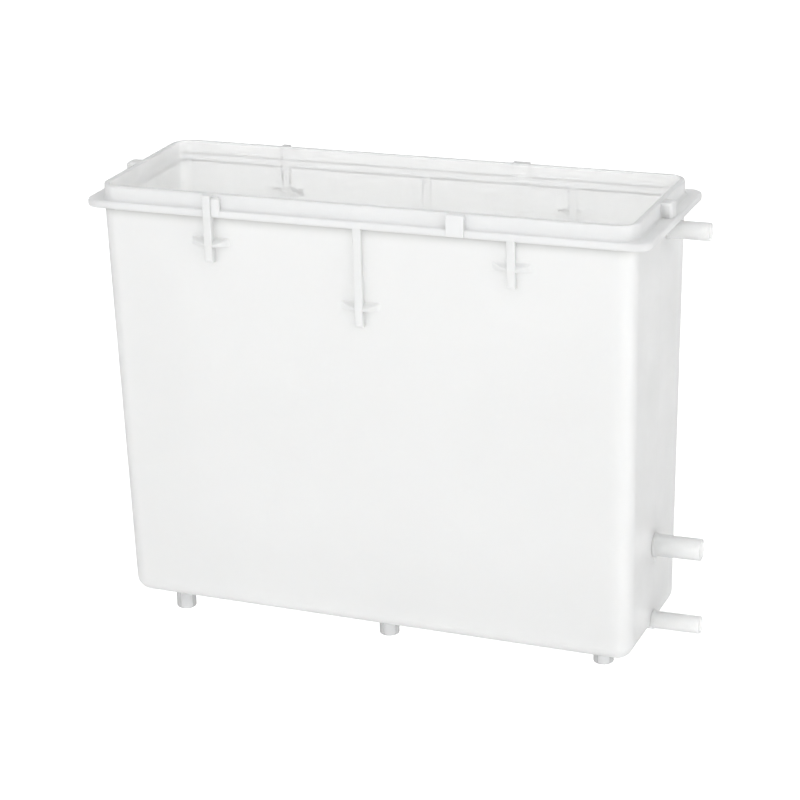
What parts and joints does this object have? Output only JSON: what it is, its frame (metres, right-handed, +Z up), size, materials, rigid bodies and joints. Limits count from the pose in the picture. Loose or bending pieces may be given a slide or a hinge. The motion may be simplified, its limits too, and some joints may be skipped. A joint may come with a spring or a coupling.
{
  "type": "header and expansion tank",
  "caption": "Narrow open-top plastic header tank with a flanged rim, cross-shaped ribs, side hose spigots and locating pegs under a sloping floor.",
  "frame": {"origin": "in the plane of the peg ends, at the centre of the peg pattern", "axes": "+X along the tank's length towards the spigots, +Y to the rear, +Z up towards the open rim"},
  "size_m": [0.356, 0.121, 0.2747],
  "materials": {
    "tank": "satin, translucent natural polypropylene",
    "rim": "satin, translucent natural polypropylene, slightly cooler",
    "spigots": "satin, translucent natural polypropylene tube",
    "pegs": "satin, translucent natural polypropylene"
  },
  "bodies": {
    "root": {"tank_shell": "tank", "rim_frame": "rim", "short_cross_ribs": "tank", "long_cross_ribs": "tank", "overflow_spigot": "spigots", "return_spigot": "spigots", "outlet_spigot": "spigots", "left_pegs": "pegs", "centre_pegs": "pegs", "right_pegs": "pegs"}
  },
  "joints": []
}
